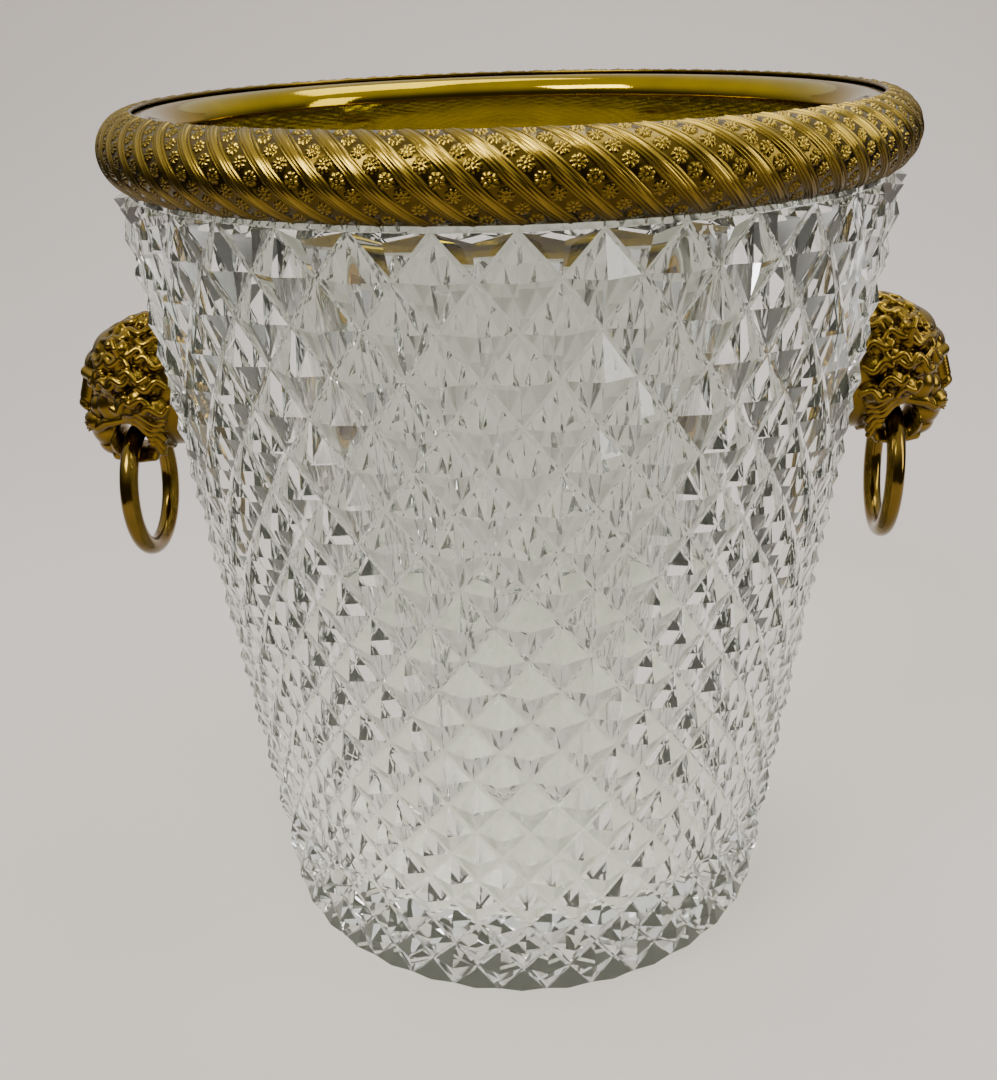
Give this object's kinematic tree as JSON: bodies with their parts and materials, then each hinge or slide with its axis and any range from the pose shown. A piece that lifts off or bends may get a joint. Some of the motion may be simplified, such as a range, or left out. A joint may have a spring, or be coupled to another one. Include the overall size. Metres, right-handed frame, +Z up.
{
  "type": "champagne bucket",
  "caption": "Tapered cut-crystal champagne bucket with a gilt bronze bead rim and lion masks that hold loose hanging rings.",
  "frame": {"origin": "centre of the foot, on the surface that the bucket stands on", "axes": "+Z up along the body's axis, +X through the right mask, -Y towards the front"},
  "size_m": [0.2564, 0.212, 0.2415],
  "materials": {
    "cut_crystal": "polished clear lead crystal, diamond-point cut outside",
    "antique_gilt": "cast bronze, antique gilt, dark in the recesses",
    "polished_gilt": "mirror-polished gilt bronze",
    "worn_gilt": "gilt bronze, polished by handling",
    "plain_brass": "turned brass",
    "bedding_plaster": "set plaster bedding",
    "nylon": "natural nylon",
    "clear_rubber": "translucent rubber"
  },
  "bodies": {
    "bucket": {"crystal_body": "cut_crystal", "rim_bead": "antique_gilt", "rim_liner": "polished_gilt", "rim_cement": "bedding_plaster", "left_mask": "antique_gilt", "left_mask_gasket": "clear_rubber", "left_stud": "plain_brass", "left_bush": "nylon", "left_soft_washer": "clear_rubber", "left_washer": "plain_brass", "left_dome_nut": "worn_gilt", "right_mask": "antique_gilt", "right_mask_gasket": "clear_rubber", "right_stud": "plain_brass", "right_bush": "nylon", "right_soft_washer": "clear_rubber", "right_washer": "plain_brass", "right_dome_nut": "worn_gilt"},
    "left_ring": {"left_ring": "worn_gilt"},
    "right_ring": {"right_ring": "worn_gilt"}
  },
  "joints": [
    {"name": "left_ring_swing", "type": "hinge", "parent": "bucket", "child": "left_ring", "pos_m": [-0.11202, 0, 0.1515], "axis": [0, 1, 0], "range_deg": [-24, 95]},
    {"name": "right_ring_swing", "type": "hinge", "parent": "bucket", "child": "right_ring", "pos_m": [0.11202, 0, 0.1515], "axis": [0, -1, 0], "range_deg": [-24, 95]}
  ]
}
